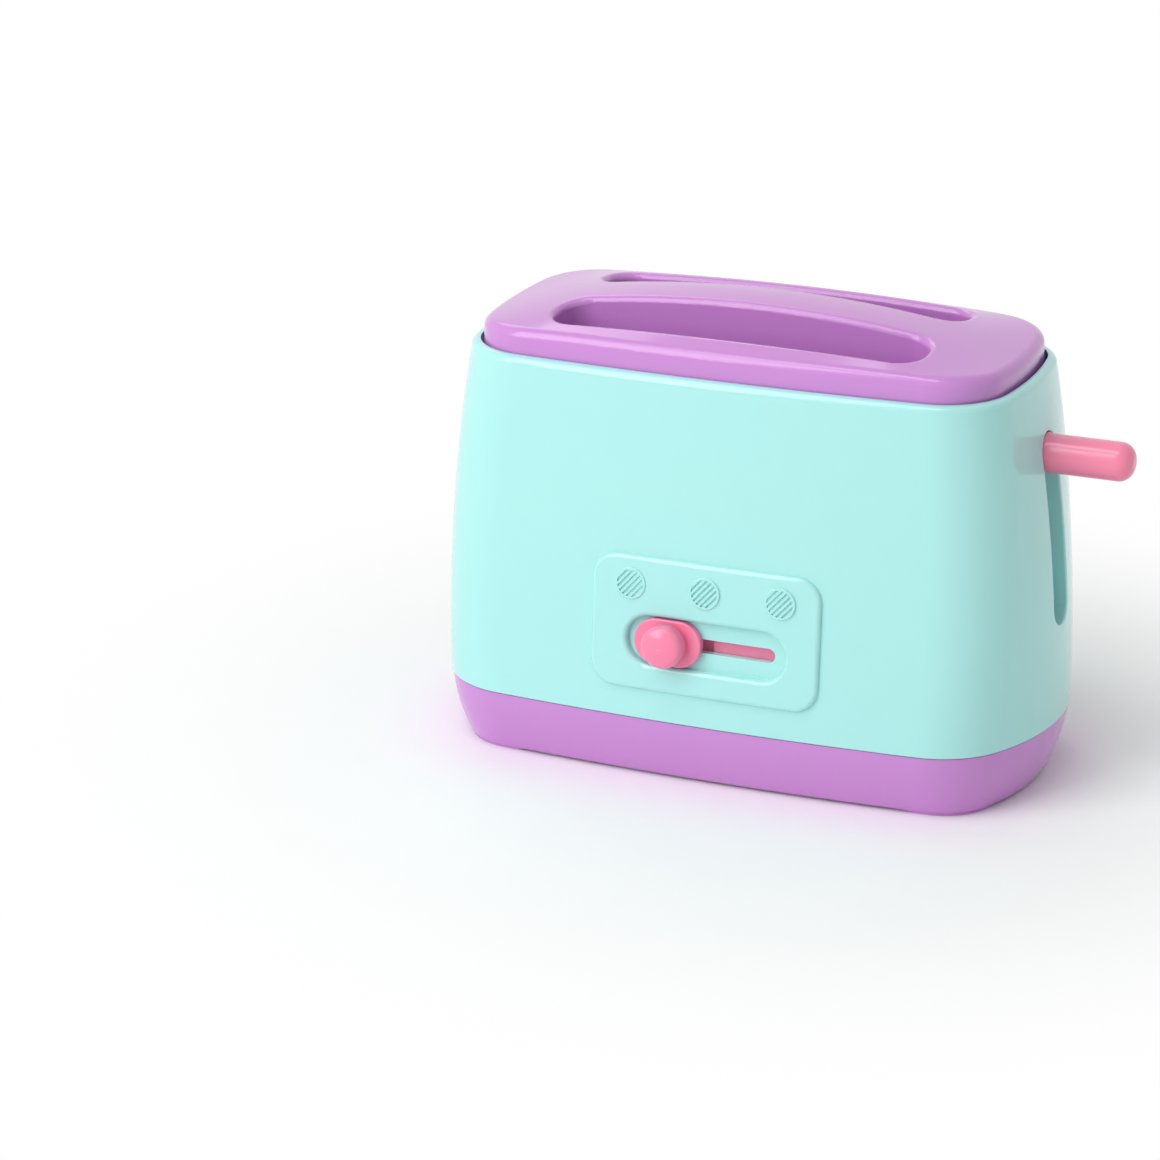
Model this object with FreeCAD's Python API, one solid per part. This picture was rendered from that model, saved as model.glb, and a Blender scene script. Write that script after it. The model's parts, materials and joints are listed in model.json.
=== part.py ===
import FreeCAD, Part
import math
import os

# A toy toaster: a side lever presses the bread lift down, two springs push it back up,
# and a slider on the front moves a bolt over the lift to hold it down.
# Millimetres. The origin is on the floor under the middle of the housing.
# +X runs along the bread slots to the lever, the front faces -Y, and +Z is up.

Vector = FreeCAD.Vector

# Body shell: outline at its lower edge, and how it draws in towards the top
SHELL_LENGTH = 180.0
SHELL_DEPTH = 92.4
SHELL_BOTTOM = 19.2
SHELL_HEIGHT = 97.8
SHELL_WALL = 2.2
BOTTOM_CORNER = 24.4
TOP_CORNER = 21.4
BOTTOM_END_BOW = 5.1
TOP_END_BOW = 1.1
BOTTOM_SIDE_BOW = 2.4
TOP_SIDE_BOW = 2.1
END_LEAN = 9.6
END_BELLY = 2.7
SIDE_LEAN = 7.1
RIM_ROUND = 2.0
EDGE_ROUND = 0.4
SMALL_CORNER = 2.0
LEDGE_WIDTH = 2.5
LEDGE_THICKNESS = 2.5
LEDGE_GAP = 0.1

# Top cover: a domed lid with two bread chutes
COVER_GAP = 0.5
COVER_END_GAP = 1.0
COVER_SKIRT = 6.9
COVER_RISE = 14.6
COVER_DRAFT = 2.0
COVER_WALL = 2.2
COVER_ROUND = 3.0
DOME_END_FALL = 3.8
DOME_SIDE_FALL = 5.3
DOME_CORNER_LIFT = 2.4
DOME_END_REACH = 50.0
DOME_SIDE_REACH = 30.0
SLOT_LENGTH = 107.5
SLOT_WIDTH = 17.7
SLOT_BOW = 1.1
SLOT_CORNER = 7.5
SLOT_ROUND = 1.8
BAR_WIDTH = 18.0
CHUTE_WALL = 1.8
CHUTE_BOTTOM = 72.0

# Base tray: how far its underside is tucked in, its feet and its lip inside the shell
BASE_END_TUCK = 6.0
BASE_SIDE_TUCK = 6.4
BASE_CORNER = 16.3
BASE_WALL = 2.2
BASE_LIP = 5.0
BASE_GAP = 0.4
BASE_STEP = 0.3
BASE_SEAM = 0.15
BASE_BULGE = 0.85
BASE_ROUND = 0.7
FOOT_HEIGHT = 0.8
FOOT_LENGTH = 28.0
FOOT_DEPTH = 17.0
FOOT_INSET = 0.5
FOOT_RAMP = 4.0

# Lift: travel, lever height, and the two rods that it runs on
TRAVEL = 43.0
LEVER_BELOW_RIM = 21.0
SLEEVE_BELOW_LEVER = 10.0
ROD_INSET = 24.0
ROD_RADIUS = 2.5
ROD_RISE = 1.0
ROD_CHAMFER = 0.4
ROD_END_GAP = 0.5
ROD_SOCKET_GAP = 0.05
RUN_GAP = 0.08
POST_RADIUS = 5.5
LIFT_FLOOR = 2.0
LIFT_WALL = 1.6
LIFT_BOTTOM = 61.5
LIFT_BAR = 5.0
LIFT_CORNER = 6.0
LIFT_GAP = 1.0
TROUGH_WIDTH = 20.0
TROUGH_UNDER_BAR = 0.4
TROUGH_END_GAP = 0.9
SLEEVE_WALL = 2.9
STOP_GAP = 0.3
GRATE_SLOTS = 6
GRATE_WIDTH = 6.0
GRATE_LENGTH = 11.0
ARM_WIDTH = 12.0
ARM_THICKNESS = 3.0
ARM_BEYOND_ROD = 7.5
STEM_WIDTH = 4.2
STEM_HEIGHT = 7.0

# Coil springs around the rods
SPRING_RADIUS = 4.3
SPRING_WIRE = 0.5
SPRING_SEAT = 6.5

# Lever grip and the channel that it runs in
GRIP_RADIUS = 5.45
GRIP_REACH = 18.0
GRIP_TIP_ROUND = 4.3
GRIP_COLLAR_RADIUS = 5.65
GRIP_COLLAR_LENGTH = 3.4
GRIP_COLLAR_ROUND = 0.15
CHANNEL_GAP = 0.3
CHANNEL_INSET = 10.5
CHANNEL_WALL = 2.0
CHANNEL_ROUND = 0.5
GRIP_GAP = 0.5
STEM_GAP = 0.4
STEM_SOCKET_GAP = 0.05
STEM_DEPTH = 6.0

# Front panel, in its own plane on the leaning front
PANEL_X = 0.8
PANEL_Z = 47.1
PANEL_LENGTH = 67.1
PANEL_HEIGHT = 38.4
PANEL_CORNER = 7.2
PANEL_RAISE = 1.3
PANEL_ROUND = 1.2
DOT_SPACING = 22.0
DOT_UP = 11.2
DOT_RADIUS = 4.54
DOT_RAISE = 0.5
DOT_BORDER = 0.7
DOT_GROOVES = 6
DOT_GROOVE_WIDTH = 0.62
DOT_GROOVE_PITCH = 1.26
DOT_GROOVE_DEPTH = 0.6
DOT_GROOVE_ANGLE = 48.0
DOT_ROUND = 0.25

# Slider: its recess, the knob, the plate behind the wall and the bolt
TRACK_RIGHT = 0.45
TRACK_DOWN = 4.6
TRACK_LENGTH = 46.6
TRACK_HEIGHT = 13.9
TRACK_DEPTH = 2.5
TRACK_FLOOR_WALL = 2.4
TRACK_ROUND = 1.3
FLANGE_LENGTH = 19.8
FLANGE_GAP = 0.3
FLANGE_THICKNESS = 2.2
FLANGE_ROUND = 0.5
SLIDER_END_GAP = 2.4
KNOB_RADIUS = 6.15
KNOB_LENGTH = 6.6
KNOB_ROUND = 2.2
KNOB_CROWN = 2.4
NECK_RADIUS = 5.1
NECK_LENGTH = 1.0
NECK_ROUND = 0.8
WINDOW_HEIGHT = 4.0
WINDOW_LENGTH = 40.0
SHANK_LENGTH = 12.0
SHANK_GAP = 0.3
SHANK_SEAT_GAP = 0.1
HOOK_REACH = 0.7
HOOK_HEIGHT = 1.2
HOOK_GAP = 1.0
SHANK_LEG = 2.4
PLATE_HEIGHT = 12.0
PLATE_THICKNESS = 1.5
PLATE_OVERLAP = 3.0
PLATE_GAP = 0.3
POCKET_LENGTH = 3.6
POCKET_STEP = 2.4
POCKET_DEPTH = 0.9
BOLT_LENGTH = 14.0
BOLT_THICKNESS = 3.0
BOLT_REACH = 9.0
BOLT_SINK = 1.05
BOLT_GAP = 0.5
TAB_CLEAR = 5.0
TAB_REACH = 5.6
TAB_THICKNESS = 3.0

# Retainer bar that holds the plate against the wall
RETAINER_HEIGHT = 9.0
RETAINER_THICKNESS = 2.0
RETAINER_END = 8.0
RETAINER_GAP = 1.5
RETAINER_BOSS_RADIUS = 3.6

# Self-tapping screws: shank, head, and the bite of the thread in its pilot hole
SCREW_RADIUS = 1.5
SCREW_HEAD_RADIUS = 2.8
SCREW_HEAD_HEIGHT = 2.0
SCREW_LENGTH = 12.0
SCREW_BITE = 0.15
SCREW_CLEARANCE = 0.2
SCREW_END_SPACE = 1.5
HEAD_ROUND_SHARE = 0.45
SMALL_SCREW_RADIUS = 1.1
SMALL_SCREW_HEAD_RADIUS = 2.0
SMALL_SCREW_HEAD_HEIGHT = 1.4
SMALL_SCREW_LENGTH = 4.6
SMALL_SCREW_END_SPACE = 0.2
GRIP_SCREW_LENGTH = 16.0
HEAD_CLEARANCE = 0.4
BOSS_WALL = 2.3
BOSS_INSET = 9.7
BASE_SCREW_SEAT = 12.0
BASE_BOSS_CAP = 2.0
POST_LENGTH = 20.0
POST_RIB = 2.4
RIB_GAP = 1.0
LUG_INSET = 6.8
LUG_THICKNESS = 3.0
LUG_DROP = 1.0
LUG_SEAT_GAP = 0.2

SHELL_TOP = SHELL_BOTTOM + SHELL_HEIGHT
SHELL_END = SHELL_LENGTH / 2
CHANNEL_FLOOR = SHELL_END - CHANNEL_INSET
GRIP_TIP = SHELL_END + GRIP_REACH
ROD_X = SHELL_END - ROD_INSET
ARM_X = ROD_X + ARM_BEYOND_ROD
BASE_LENGTH = SHELL_LENGTH - 2 * BASE_END_TUCK
BASE_DEPTH = SHELL_DEPTH - 2 * BASE_SIDE_TUCK
LEVER_HEIGHT = SHELL_TOP - LEVER_BELOW_RIM
ROD_TOP = SHELL_TOP + ROD_RISE
COVER_TOP = SHELL_TOP + COVER_RISE
COVER_SEAT = SHELL_TOP - COVER_SKIRT
LEDGE_TOP = COVER_SEAT - LEDGE_GAP
LEDGE_BOTTOM = LEDGE_TOP - LEDGE_THICKNESS
TROUGH_TOP = CHUTE_BOTTOM - LIFT_GAP
SLOT_INNER = BAR_WIDTH / 2
SLOT_OUTER = SLOT_INNER + SLOT_WIDTH
FRONT_LEAN = math.degrees(math.atan2(SIDE_LEAN, SHELL_HEIGHT))


# Basic shapes

def box(x0, x1, y0, y1, z0, z1):
    return Part.makeBox(x1 - x0, y1 - y0, z1 - z0, Vector(x0, y0, z0))


def rod(radius, start, end):
    axis = Vector(*end) - Vector(*start)
    return Part.makeCylinder(radius, axis.Length, Vector(*start), axis)


def plate(half_x, half_y, corner, z0, z1, x=0.0, y=0.0):
    """A flat plate with four round corners, centred on x and y."""
    sheet = box(x - half_x, x + half_x, y - half_y, y + half_y, z0, z1)
    if corner <= 0:
        return sheet
    limit = min(half_x, half_y)
    if corner >= limit:
        shift = half_x - limit
        ends = [rod(limit, (x + side * shift, y, z0), (x + side * shift, y, z1)) for side in (-1, 1)]
        middle = box(x - half_x + limit, x + half_x - limit, y - half_y, y + half_y, z0, z1)
        return middle.multiFuse(ends).removeSplitter()
    upright = [edge for edge in sheet.Edges if is_upright(edge)]
    return sheet.makeFillet(corner, upright)


def is_upright(edge):
    first, last = edge.Vertexes[0].Point, edge.Vertexes[-1].Point
    return abs(first.x - last.x) < 1e-6 and abs(first.y - last.y) < 1e-6


def is_along_x(edge):
    first, last = edge.Vertexes[0].Point, edge.Vertexes[-1].Point
    return abs(first.y - last.y) < 1e-4 and abs(first.z - last.z) < 1e-4


def moved(shape, placement):
    result = shape.copy()
    result.Placement = placement.multiply(shape.Placement)
    return result


def rounded(shape, radius, chosen):
    """Rounds the edges for which chosen(edge) is true."""
    return shape.makeFillet(radius, [edge for edge in shape.Edges if chosen(edge)])


def middle_of(edge):
    return edge.valueAt((edge.FirstParameter + edge.LastParameter) / 2)


def level_at(height):
    """Chooses edges that lie level at a height."""
    def chosen(edge):
        box_of_edge = edge.BoundBox
        return abs(box_of_edge.ZMin - height) < 1e-3 and abs(box_of_edge.ZMax - height) < 1e-3
    return chosen


def joined(first, *others):
    return first.multiFuse(list(others)).removeSplitter()


# Outlines of the housing

def bowed_outline(half_length, half_depth, corner, end_bow, side_bow, z):
    """A rectangle with bowed sides and round corners, smooth all the way round."""
    core_x = half_length - corner - end_bow
    core_y = half_depth - corner - side_bow
    end_radius = (core_y ** 2 + end_bow ** 2) / (2 * end_bow)
    side_radius = (core_x ** 2 + side_bow ** 2) / (2 * side_bow)
    end_angle = math.asin(core_y / end_radius)
    side_angle = math.asin(core_x / side_radius)
    arcs = []
    for turn in (0, 2):
        facing = 1 - turn
        end_centre = (facing * (core_x + end_bow - end_radius), 0)
        side_centre = (0, facing * (core_y + side_bow - side_radius))
        start = turn * math.pi / 2
        quarter = start + math.pi / 2
        arcs.append((end_centre, end_radius + corner, start - end_angle, start + end_angle))
        arcs.append(((facing * core_x, facing * core_y), corner, start + end_angle, quarter - side_angle))
        arcs.append((side_centre, side_radius + corner, quarter - side_angle, quarter + side_angle))
        arcs.append(((-facing * core_x, facing * core_y), corner,
                     quarter + side_angle, start + math.pi - end_angle))
    return Part.Wire([arc_edge(*arc, z) for arc in arcs])


def arc_edge(centre, radius, first, last, z):
    points = [Vector(centre[0] + radius * math.cos(angle), centre[1] + radius * math.sin(angle), z)
              for angle in (first, (first + last) / 2, last)]
    return Part.Arc(*points).toShape()


def share_of_height(z):
    return (z - SHELL_BOTTOM) / SHELL_HEIGHT


def end_reach(z):
    """Half length of the shell at a height."""
    t = share_of_height(z)
    return SHELL_END - END_LEAN * t + 4 * END_BELLY * t * (1 - t)


def side_reach(z):
    """Half depth of the shell at a height."""
    return SHELL_DEPTH / 2 - SIDE_LEAN * share_of_height(z)


def corner_at(z):
    return BOTTOM_CORNER + (TOP_CORNER - BOTTOM_CORNER) * share_of_height(z)


def end_bow_at(z):
    return BOTTOM_END_BOW + (TOP_END_BOW - BOTTOM_END_BOW) * share_of_height(z)


def side_bow_at(z):
    return BOTTOM_SIDE_BOW + (TOP_SIDE_BOW - BOTTOM_SIDE_BOW) * share_of_height(z)


def shell_outline(z, inset):
    return bowed_outline(end_reach(z) - inset, side_reach(z) - inset, corner_at(z) - inset,
                         end_bow_at(z), side_bow_at(z), z)


def shell_skin(inset, low, high, steps=6):
    """The solid inside the shell's surface moved in by inset, between two heights."""
    levels = [low + (high - low) * step / steps for step in range(steps + 1)]
    return Part.makeLoft([shell_outline(z, inset) for z in levels], True, False)


def corner_point(z, inset):
    """A point on the corner's diagonal, that far in from the shell's outer surface."""
    reach = corner_at(z) - inset
    core_x = end_reach(z) - corner_at(z) - end_bow_at(z)
    core_y = side_reach(z) - corner_at(z) - side_bow_at(z)
    return core_x + reach * math.sqrt(0.5), core_y + reach * math.sqrt(0.5)


# Screws

def screw(radius, head_radius, head_height, length, seat, direction):
    """A pan-head screw whose head sits on seat and whose shank runs along direction."""
    along = Vector(*direction).normalize()
    start = Vector(*seat)
    head = Part.makeCylinder(head_radius, head_height, start, along * -1)
    outer_edges = [edge for edge in head.Edges
                   if edge.Closed and (middle_of(edge) - start).dot(along) < -head_height / 2]
    head = head.makeFillet(head_height * HEAD_ROUND_SHARE, outer_edges)
    shank = Part.makeCylinder(radius, length - 2 * radius, start, along)
    point = Part.makeCone(radius, radius * 0.25, 2 * radius, start + along * (length - 2 * radius), along)
    body = joined(head, shank, point)
    turn = FreeCAD.Rotation(Vector(0, 0, 1), along)
    blades = []
    for long_x, long_y in ((1.3, 0.3), (0.3, 1.3)):
        size_x = radius * long_x
        size_y = radius * long_y
        blade = box(-size_x, size_x, -size_y, size_y, -head_height - 1, -head_height * HEAD_ROUND_SHARE)
        blades.append(moved(blade, FreeCAD.Placement(start, turn)))
    return body.cut(blades[0]).cut(blades[1])


def large_screw(seat, direction):
    return screw(SCREW_RADIUS, SCREW_HEAD_RADIUS, SCREW_HEAD_HEIGHT, SCREW_LENGTH, seat, direction)


def small_screw(seat, direction, length):
    return screw(SMALL_SCREW_RADIUS, SMALL_SCREW_HEAD_RADIUS, SMALL_SCREW_HEAD_HEIGHT,
                 length, seat, direction)


# Frames for what sits on the front and on the right end

def front_frame():
    """Takes a shape drawn flat, X along and Y up, and stands it on the leaning front, facing out."""
    origin = Vector(PANEL_X, -side_reach(PANEL_Z), PANEL_Z)
    return FreeCAD.Placement(origin, FreeCAD.Rotation(Vector(1, 0, 0), 90 - FRONT_LEAN))


def end_frame():
    """Takes a shape drawn flat and stands it on the right end: X to Y, Y to Z and Z to X."""
    return FreeCAD.Placement(Vector(0, 0, 0), FreeCAD.Rotation(Vector(1, 1, 1), 120))


def on_front(shape):
    return moved(shape, front_frame())


def on_end(shape):
    return moved(shape, end_frame())


# Layout that several pieces share

RIM_WIDTH = SHELL_WALL + COVER_GAP
BASE_TOP = SHELL_BOTTOM + BASE_LIP
BASE_FLOOR = FOOT_HEIGHT + BASE_WALL
POST_BOTTOM = BASE_SCREW_SEAT + BASE_BOSS_CAP
BOSS_RADIUS = SCREW_RADIUS + BOSS_WALL
PILOT_RADIUS = SCREW_RADIUS - SCREW_BITE
HOLE_RADIUS = SCREW_RADIUS + SCREW_CLEARANCE
LUG_TOP = LEDGE_BOTTOM - LUG_DROP
LUG_BOTTOM = LUG_TOP - LUG_THICKNESS

CHANNEL_HALF_WIDTH = GRIP_COLLAR_RADIUS + CHANNEL_GAP
CHANNEL_TOP = LEVER_HEIGHT + CHANNEL_HALF_WIDTH
CHANNEL_BOTTOM = LEVER_HEIGHT - TRAVEL - CHANNEL_HALF_WIDTH
CHANNEL_BACK = CHANNEL_FLOOR - CHANNEL_WALL
GRIP_ROOT = CHANNEL_FLOOR + GRIP_GAP
ARM_BACK = ARM_X + ARM_THICKNESS
SLEEVE_RADIUS = ROD_RADIUS + RUN_GAP + SLEEVE_WALL
SLEEVE_TOP = LEVER_HEIGHT - SLEEVE_BELOW_LEVER
COVER_POST_BOTTOM = SLEEVE_TOP + STOP_GAP

TRACK_Y = -TRACK_DOWN
TRACK_BACK = -TRACK_DEPTH + PANEL_RAISE
WALL_BACK = TRACK_BACK - TRACK_FLOOR_WALL
PLATE_FRONT = WALL_BACK - PLATE_GAP
PLATE_BACK = PLATE_FRONT - PLATE_THICKNESS
RETAINER_FRONT = PLATE_BACK - PLATE_GAP
FLANGE_HEIGHT = TRACK_HEIGHT - 2 * FLANGE_GAP
SLIDER_TRAVEL = TRACK_LENGTH - FLANGE_LENGTH - 2 * SLIDER_END_GAP
KNOB_X = TRACK_RIGHT - TRACK_LENGTH / 2 + SLIDER_END_GAP + FLANGE_LENGTH / 2
PLATE_LEFT = TRACK_RIGHT - WINDOW_LENGTH / 2 - SLIDER_TRAVEL - PLATE_OVERLAP
PLATE_RIGHT = TRACK_RIGHT + WINDOW_LENGTH / 2 + PLATE_OVERLAP
RETAINER_LEFT = PLATE_LEFT - RETAINER_GAP - RETAINER_END
RETAINER_RIGHT = PLATE_RIGHT + SLIDER_TRAVEL + RETAINER_GAP + RETAINER_END
BOLT_RIGHT = PANEL_X + PLATE_RIGHT
BOLT_BOTTOM = TROUGH_TOP - TRAVEL + BOLT_GAP
TROUGH_INNER = BAR_WIDTH / 2 - TROUGH_UNDER_BAR
LIFT_HALF_DEPTH = TROUGH_INNER + TROUGH_WIDTH + LIFT_WALL
LIFT_HALF_LENGTH = SLOT_LENGTH / 2 + LIFT_WALL + TROUGH_END_GAP
TAB_LEFT = BOLT_RIGHT + TAB_CLEAR
TAB_RIGHT = BOLT_RIGHT + SLIDER_TRAVEL
TAB_FRONT = -LIFT_HALF_DEPTH - TAB_REACH


def mirrored_corners(point):
    x, y = point
    return [(x, y), (-x, y), (-x, -y), (x, -y)]


def base_screw_points():
    return mirrored_corners(corner_point(SHELL_BOTTOM, BOSS_INSET + SHELL_WALL))


def cover_screw_points():
    return mirrored_corners(corner_point(LUG_TOP, LUG_INSET + SHELL_WALL))


def retainer_screw_points():
    return [RETAINER_LEFT + RETAINER_END / 2, RETAINER_RIGHT - RETAINER_END / 2]


# Body shell

def racetrack(length, height, low, high, x=0.0, y=0.0):
    """A plate with fully round ends."""
    short = min(length, height) / 2
    return plate(length / 2, height / 2, short, low, high, x, y)


def channel_block(inset, inner, outer):
    """The lever channel's long round-ended shape, grown by inset, between two planes across X."""
    height = CHANNEL_TOP - CHANNEL_BOTTOM + 2 * inset
    width = 2 * (CHANNEL_HALF_WIDTH + inset)
    middle = (CHANNEL_TOP + CHANNEL_BOTTOM) / 2
    turned = racetrack(height, width, inner, outer)
    turned = moved(turned, FreeCAD.Placement(Vector(0, middle, 0), FreeCAD.Rotation(Vector(0, 0, 1), 90)))
    return on_end(turned)


def panel_pad():
    """The raised panel: the shell's front moved out, inside the panel's outline."""
    raised = shell_skin(-PANEL_RAISE, SHELL_BOTTOM, SHELL_TOP)
    prism = on_front(plate(PANEL_LENGTH / 2, PANEL_HEIGHT / 2, PANEL_CORNER, -2 * SHELL_WALL, 10))
    pad = raised.common(prism)
    face_y = -side_reach(PANEL_Z) - PANEL_RAISE
    def on_face(edge):
        point = middle_of(edge)
        return point.y < face_y + 0.4 + (point.z - PANEL_Z) * SIDE_LEAN / SHELL_HEIGHT + bow_drop(point.x)
    return rounded(pad, PANEL_ROUND, on_face)


def bow_drop(x):
    """How far the bowed front falls back at x."""
    span = SHELL_END - BOTTOM_CORNER - BOTTOM_END_BOW
    return BOTTOM_SIDE_BOW * (x / span) ** 2


def dot(x):
    """A raised button shape with diagonal grooves across its face."""
    top = PANEL_RAISE - bow_drop(x) + DOT_RAISE
    disc = rod(DOT_RADIUS, (x, DOT_UP, 0), (x, DOT_UP, top))
    disc = rounded(disc, DOT_ROUND, level_at(top))
    field = rod(DOT_RADIUS - DOT_BORDER, (x, DOT_UP, top - DOT_GROOVE_DEPTH), (x, DOT_UP, top + 1))
    bars = []
    for step in range(DOT_GROOVES):
        offset = (step - (DOT_GROOVES - 1) / 2) * DOT_GROOVE_PITCH
        bar = box(-DOT_RADIUS, DOT_RADIUS, offset - DOT_GROOVE_WIDTH / 2, offset + DOT_GROOVE_WIDTH / 2,
                  top - DOT_GROOVE_DEPTH, top + 1)
        turn = FreeCAD.Rotation(Vector(0, 0, 1), DOT_GROOVE_ANGLE)
        bars.append(moved(bar, FreeCAD.Placement(Vector(x, DOT_UP, 0), turn)))
    grooves = field.common(Part.makeCompound(bars))
    return disc.cut(grooves)


def track_block(grow, low, high):
    length = TRACK_LENGTH + 2 * grow
    height = TRACK_HEIGHT + 2 * grow
    return on_front(racetrack(length, height, low, high, TRACK_RIGHT, TRACK_Y))


def near_wire_of(tool, limit):
    """Chooses edges that lie on the surface of a cutting tool."""
    def chosen(edge):
        for share in (0.2, 0.5, 0.8):
            first, last = edge.FirstParameter, edge.LastParameter
            point = Part.Vertex(edge.valueAt(first + (last - first) * share))
            if tool.Shells[0].distToShape(point)[0] > limit:
                return False
        return True
    return chosen


def shell_outside():
    """The shell's outer form as one solid, with its panel, dots, track and lever channel."""
    body = shell_skin(0, SHELL_BOTTOM, SHELL_TOP)
    body = rounded(body, RIM_ROUND, level_at(SHELL_TOP))
    body = rounded(body, EDGE_ROUND, level_at(SHELL_BOTTOM))
    body = joined(body, panel_pad())
    dots = [on_front(dot(side * DOT_SPACING)) for side in (-1, 0, 1)]
    body = body.multiFuse(dots)
    track = track_block(0, TRACK_BACK, 20)
    body = body.cut(track)
    face_y = -side_reach(PANEL_Z)
    def track_mouth(edge):
        point = middle_of(edge)
        lean = (point.z - PANEL_Z) * SIDE_LEAN / SHELL_HEIGHT
        return point.y < face_y + lean - PANEL_RAISE / 2 and near_wire_of(track, 1e-3)(edge)
    body = rounded(body, TRACK_ROUND, track_mouth)
    channel = channel_block(0, CHANNEL_FLOOR, GRIP_TIP)
    body = body.cut(channel)
    def channel_mouth(edge):
        outside_floor = middle_of(edge).x > CHANNEL_FLOOR + 1
        return outside_floor and not is_along_x(edge) and near_wire_of(channel, 1e-3)(edge)
    return rounded(body, CHANNEL_ROUND, channel_mouth)


def facing_corner(x, y):
    """A placement at x and y whose X points out to the housing's corner."""
    diagonal = math.degrees(math.atan2(math.copysign(1, y), math.copysign(1, x)))
    return FreeCAD.Placement(Vector(x, y, 0), FreeCAD.Rotation(Vector(0, 0, 1), diagonal))


def shell_post(x, y):
    """A screw post in a corner, tied to the wall by a rib."""
    top = POST_BOTTOM + POST_LENGTH
    post = rod(BOSS_RADIUS, (x, y, POST_BOTTOM), (x, y, top))
    rib = box(0, BOTTOM_CORNER, -POST_RIB / 2, POST_RIB / 2, BASE_TOP + RIB_GAP, top)
    return joined(post, moved(rib, facing_corner(x, y)))


def cover_lug(x, y):
    """A lug under the ledge in a corner, for a cover screw."""
    eye = rod(BOSS_RADIUS, (x, y, LUG_BOTTOM), (x, y, LUG_TOP))
    web = box(0, BOTTOM_CORNER, -BOSS_RADIUS, BOSS_RADIUS, LUG_BOTTOM, LUG_TOP)
    return joined(eye, moved(web, facing_corner(x, y)))


def retainer_boss(u):
    return on_front(rod(RETAINER_BOSS_RADIUS, (u, TRACK_Y, 0), (u, TRACK_Y, RETAINER_FRONT)))


def body_shell():
    outside = shell_outside()
    cavity = shell_skin(SHELL_WALL, SHELL_BOTTOM - 1, SHELL_TOP + 1)
    ledge = shell_skin(SHELL_WALL / 2, LEDGE_BOTTOM, LEDGE_TOP, 1)
    ledge = ledge.cut(shell_skin(SHELL_WALL + LEDGE_WIDTH, LEDGE_BOTTOM - 1, LEDGE_TOP + 1, 1))
    solids = [ledge]
    solids += [channel_block(CHANNEL_WALL, CHANNEL_BACK, GRIP_TIP)]
    solids += [track_block(TRACK_FLOOR_WALL, WALL_BACK, 20)]
    solids += [retainer_boss(u) for u in retainer_screw_points()]
    solids += [cover_lug(x, y) for x, y in cover_screw_points()]
    for solid in solids:
        cavity = cavity.cut(solid)
    shell = outside.cut(cavity)
    posts = [shell_post(x, y).common(shell_skin(SHELL_WALL / 2, SHELL_BOTTOM - 10, SHELL_TOP))
             for x, y in base_screw_points()]
    shell = shell.multiFuse(posts)
    for x, y in base_screw_points():
        depth = BASE_SCREW_SEAT + SCREW_LENGTH + SCREW_END_SPACE
        shell = shell.cut(rod(PILOT_RADIUS, (x, y, POST_BOTTOM - 1), (x, y, depth)))
    for x, y in cover_screw_points():
        shell = shell.cut(rod(HOLE_RADIUS, (x, y, LUG_BOTTOM - 1), (x, y, LUG_TOP + 1)))
    for u in retainer_screw_points():
        depth = RETAINER_FRONT - RETAINER_THICKNESS + SMALL_SCREW_LENGTH + SMALL_SCREW_END_SPACE
        pilot = rod(SMALL_SCREW_RADIUS - SCREW_BITE, (u, TRACK_Y, RETAINER_FRONT - 1), (u, TRACK_Y, depth))
        shell = shell.cut(on_front(pilot))
    window = on_front(racetrack(WINDOW_LENGTH, WINDOW_HEIGHT, WALL_BACK - 1, 10, TRACK_RIGHT, TRACK_Y))
    shell = shell.cut(window)
    gate_height = TRAVEL + STEM_HEIGHT + 2 * STEM_GAP
    gate_middle = LEVER_HEIGHT - TRAVEL / 2
    gate = box(CHANNEL_BACK - 1, CHANNEL_FLOOR + 1, -STEM_WIDTH / 2 - STEM_GAP, STEM_WIDTH / 2 + STEM_GAP,
               gate_middle - gate_height / 2, gate_middle + gate_height / 2)
    return shell.cut(gate)


# Top cover

def dome_height(x, y, drop):
    along = (x / DOME_END_REACH) ** 2
    across = (y / DOME_SIDE_REACH) ** 2
    fall = DOME_END_FALL * along + DOME_SIDE_FALL * across - DOME_CORNER_LIFT * along * across
    return COVER_TOP - drop - fall


def under_dome(drop):
    """The solid under the cover's domed surface moved down by drop."""
    reach_x = SHELL_END
    reach_y = SHELL_DEPTH / 2
    steps = 8
    grid = []
    for row in range(steps + 1):
        x = reach_x * (2 * row / steps - 1)
        line = []
        for column in range(steps + 1):
            y = reach_y * (2 * column / steps - 1)
            line.append(Vector(x, y, dome_height(x, y, drop)))
        grid.append(line)
    surface = Part.BSplineSurface()
    surface.interpolate(grid)
    return surface.toShape().extrude(Vector(0, 0, -COVER_TOP))


def cover_block(inset, low, high):
    """The cover's drafted side band, moved in by inset."""
    outlines = []
    for z in (low, high):
        draft = (z - SHELL_TOP) * math.tan(math.radians(COVER_DRAFT))
        shrink = RIM_WIDTH + draft + inset
        half_length = end_reach(SHELL_TOP) - shrink - COVER_END_GAP + COVER_GAP
        outlines.append(bowed_outline(half_length, side_reach(SHELL_TOP) - shrink,
                                      corner_at(SHELL_TOP) - shrink, TOP_END_BOW, TOP_SIDE_BOW, z))
    return Part.makeLoft(outlines, True, True)


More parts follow.
